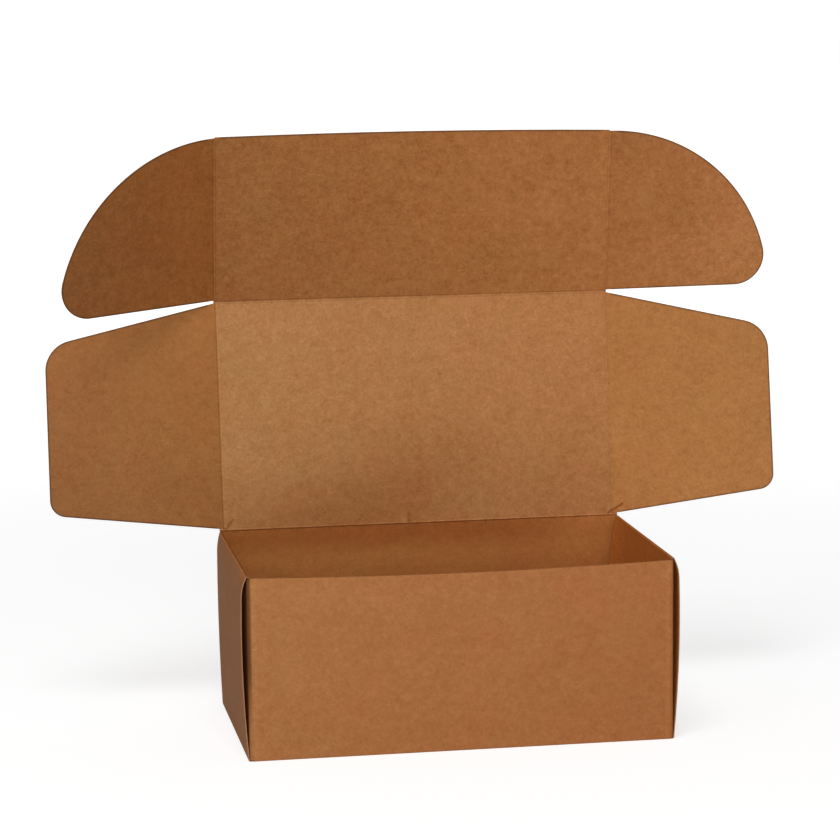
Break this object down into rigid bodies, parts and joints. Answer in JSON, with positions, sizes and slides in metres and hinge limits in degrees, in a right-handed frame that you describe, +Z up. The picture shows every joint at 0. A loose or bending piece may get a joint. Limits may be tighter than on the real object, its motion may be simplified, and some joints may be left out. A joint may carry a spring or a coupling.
{
  "type": "folding food carton",
  "caption": "Folded kraft board burger box: an open tray with double side walls and a hinged tuck-front lid, with side flaps and ears, standing open.",
  "frame": {"origin": "the middle of the tray's underside, on the plane that the box stands on", "axes": "+X to the right along the front wall, +Y from the front wall to the rear wall that the lid is creased to, +Z up"},
  "size_m": [0.3624, 0.1386, 0.2786],
  "materials": {
    "kraft_board": "matt, uncoated"
  },
  "bodies": {
    "tray": {"tray": "kraft_board"},
    "lid_panel": {"lid_panel": "kraft_board"},
    "left_side_flap": {"left_side_flap": "kraft_board"},
    "right_side_flap": {"right_side_flap": "kraft_board"},
    "tuck_panel": {"tuck_panel": "kraft_board"},
    "left_ear": {"left_ear": "kraft_board"},
    "right_ear": {"right_ear": "kraft_board"}
  },
  "joints": [
    {"name": "lid_hinge", "type": "hinge", "parent": "tray", "child": "lid_panel", "pos_m": [0, 0.05627, 0.0865], "axis": [1, 0, 0], "range_deg": [-80, 100]},
    {"name": "left_side_flap_hinge", "type": "hinge", "parent": "lid_panel", "child": "left_side_flap", "pos_m": [-0.0974, 0.05627, 0.0865], "axis": [0, 0.1736, 0.9848], "range_deg": [-30, 96]},
    {"name": "right_side_flap_hinge", "type": "hinge", "parent": "lid_panel", "child": "right_side_flap", "pos_m": [0.0974, 0.05627, 0.0865], "axis": [0, -0.1736, -0.9848], "range_deg": [-30, 96]},
    {"name": "tuck_hinge", "type": "hinge", "parent": "lid_panel", "child": "tuck_panel", "pos_m": [0, 0.07564, 0.19631], "axis": [1, 0, 0], "range_deg": [-48.7, 71.3]},
    {"name": "left_ear_hinge", "type": "hinge", "parent": "tuck_panel", "child": "left_ear", "pos_m": [-0.09795, 0.07564, 0.19631], "axis": [0, -0.1513, 0.9885], "range_deg": [-52.8, 67.2]},
    {"name": "right_ear_hinge", "type": "hinge", "parent": "tuck_panel", "child": "right_ear", "pos_m": [0.09795, 0.07564, 0.19631], "axis": [0, 0.1513, -0.9885], "range_deg": [-27.6, 92.4]}
  ]
}
